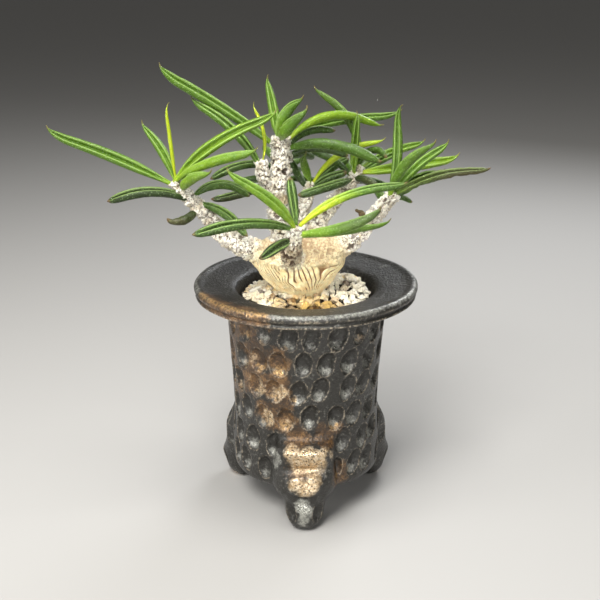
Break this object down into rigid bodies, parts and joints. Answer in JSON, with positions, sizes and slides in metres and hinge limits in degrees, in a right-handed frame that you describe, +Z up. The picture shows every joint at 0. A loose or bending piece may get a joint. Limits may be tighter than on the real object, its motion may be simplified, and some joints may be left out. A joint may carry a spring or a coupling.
{
  "type": "potted caudiciform euphorbia",
  "caption": "Small succulent with a swollen cream caudex, knobbly pale stems and narrow rolled green leaves, in grit in a dimpled dark stoneware pot on pinched feet.",
  "frame": {"origin": "middle of the whole part's outline on the surface that the pot stands on", "axes": "+Z up; -Y towards the foot that faces the viewer; +X to the viewer's right"},
  "size_m": [0.1568, 0.0982, 0.1689],
  "materials": {
    "stoneware": "charcoal glaze with a dull metallic sheen and bronze patches",
    "netting": "matt",
    "grit": "rough mineral grains",
    "bark": "dry wrinkled bark",
    "leaf": "smooth succulent leaf"
  },
  "bodies": {
    "root": {"pot": "stoneware", "drain_net": "netting", "grit": "grit", "caudex": "bark", "leafy_stem_left": "leaf", "leafy_stem_tall": "leaf", "leafy_stem_spur": "leaf", "leafy_stem_front": "leaf", "leafy_stem_right": "leaf", "leafy_stem_rear": "leaf", "leafy_stem_inner": "leaf", "leafy_stem_far": "leaf"}
  },
  "joints": []
}
